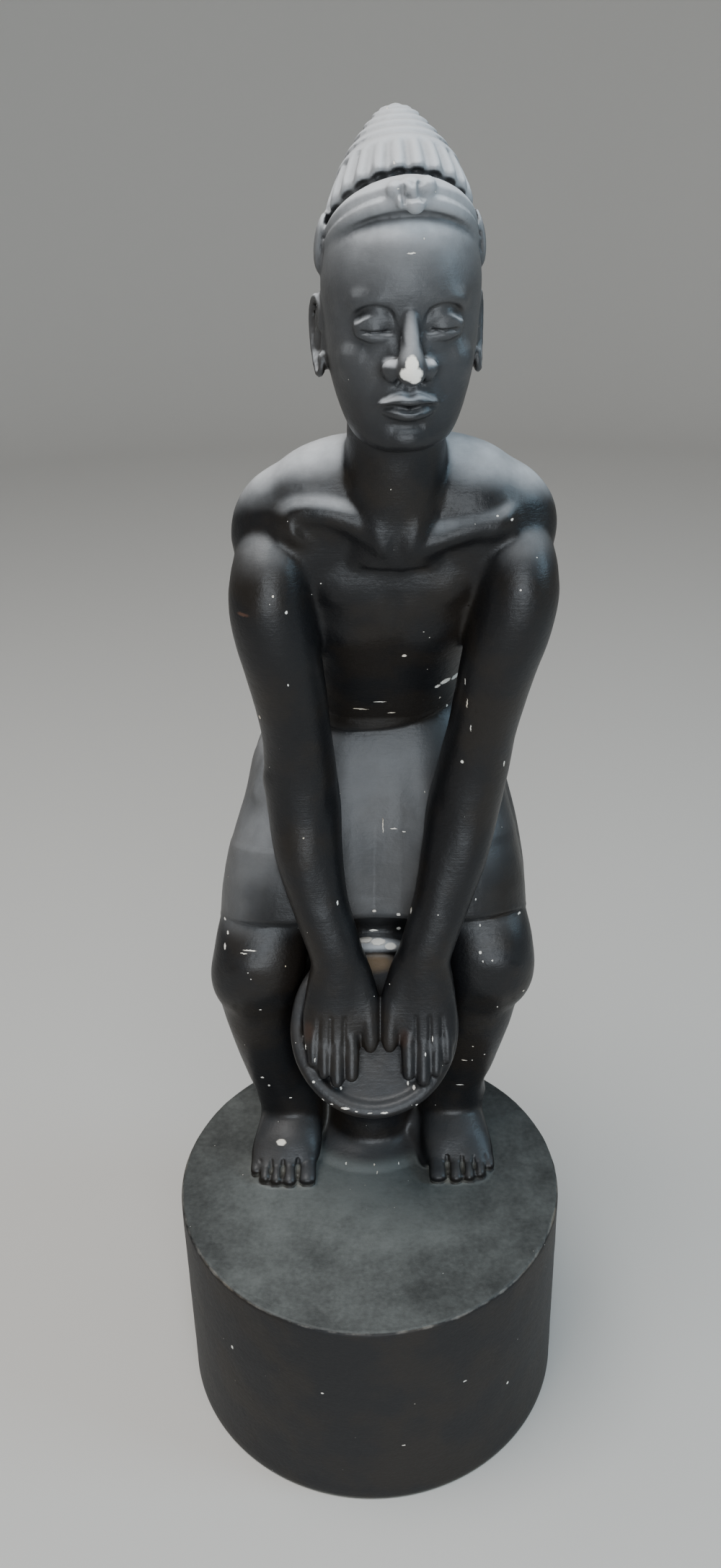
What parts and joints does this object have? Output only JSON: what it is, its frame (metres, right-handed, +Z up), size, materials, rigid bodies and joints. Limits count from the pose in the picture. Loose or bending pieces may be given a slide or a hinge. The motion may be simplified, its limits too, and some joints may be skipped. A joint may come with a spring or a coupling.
{
  "type": "drummer statue",
  "caption": "Black-painted plaster figure with bent knees, leaning forward to beat a drum held between the legs, on a thick round plinth.",
  "frame": {"origin": "middle of the plinth's underside, on the surface that the statue stands on", "axes": "+Z up through the figure, the face and the drum look along -Y, +X to the viewer's right"},
  "size_m": [0.1924, 0.1924, 0.5918],
  "materials": {
    "painted_plaster": "satin black paint over white cast plaster, dusty and chipped"
  },
  "bodies": {
    "root": {"drummer_figure": "painted_plaster"}
  },
  "joints": []
}
